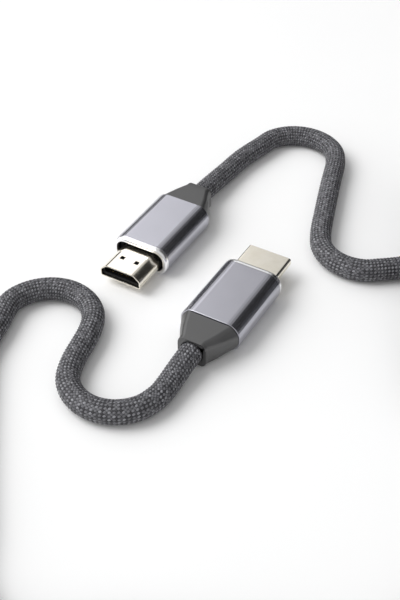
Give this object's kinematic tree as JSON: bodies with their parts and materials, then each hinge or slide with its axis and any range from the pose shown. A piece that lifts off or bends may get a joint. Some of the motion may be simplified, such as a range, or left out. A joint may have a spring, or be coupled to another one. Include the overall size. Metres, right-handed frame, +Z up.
{
  "type": "video cable",
  "caption": "Braided round cord with a flat D-shaped metal video plug in a grey aluminium housing on each end, the spare length tied in a hank.",
  "frame": {"origin": "on the floor under the middle of plug A, the plug whose latched face is up", "axes": "+Z up, +Y along plug A from its mouth to its cord, +X towards plug B"},
  "size_m": [0.1564, 0.2071, 0.022],
  "materials": {
    "shell": "polished nickel, slightly warm",
    "insulator": "black moulded plastic",
    "contact": "gold plated",
    "core": "black moulded plastic",
    "housing": "satin grey, anodised",
    "rim": "bright cut and polished",
    "boot": "satin grey moulded plastic",
    "braid": "woven nylon, dark grey with lighter flecks",
    "tie": "black hook-and-loop strap"
  },
  "bodies": {
    "root": {"shell_a": "shell", "insert_a": "insulator", "contact_wide_1_a": "contact", "contact_wide_2_a": "contact", "contact_wide_3_a": "contact", "contact_wide_4_a": "contact", "contact_wide_5_a": "contact", "contact_wide_6_a": "contact", "contact_wide_7_a": "contact", "contact_wide_8_a": "contact", "contact_wide_9_a": "contact", "contact_wide_10_a": "contact", "contact_narrow_1_a": "contact", "contact_narrow_2_a": "contact", "contact_narrow_3_a": "contact", "contact_narrow_4_a": "contact", "contact_narrow_5_a": "contact", "contact_narrow_6_a": "contact", "contact_narrow_7_a": "contact", "contact_narrow_8_a": "contact", "contact_narrow_9_a": "contact", "core_a": "core", "housing_a": "housing", "rim_a": "rim", "boot_a": "boot", "shell_b": "shell", "insert_b": "insulator", "contact_wide_1_b": "contact", "contact_wide_2_b": "contact", "contact_wide_3_b": "contact", "contact_wide_4_b": "contact", "contact_wide_5_b": "contact", "contact_wide_6_b": "contact", "contact_wide_7_b": "contact", "contact_wide_8_b": "contact", "contact_wide_9_b": "contact", "contact_wide_10_b": "contact", "contact_narrow_1_b": "contact", "contact_narrow_2_b": "contact", "contact_narrow_3_b": "contact", "contact_narrow_4_b": "contact", "contact_narrow_5_b": "contact", "contact_narrow_6_b": "contact", "contact_narrow_7_b": "contact", "contact_narrow_8_b": "contact", "contact_narrow_9_b": "contact", "core_b": "core", "housing_b": "housing", "rim_b": "rim", "boot_b": "boot", "cord_lead_a": "braid", "cord_hank": "braid", "cord_lead_b": "braid", "tie_left": "tie", "tie_right": "tie"}
  },
  "joints": []
}
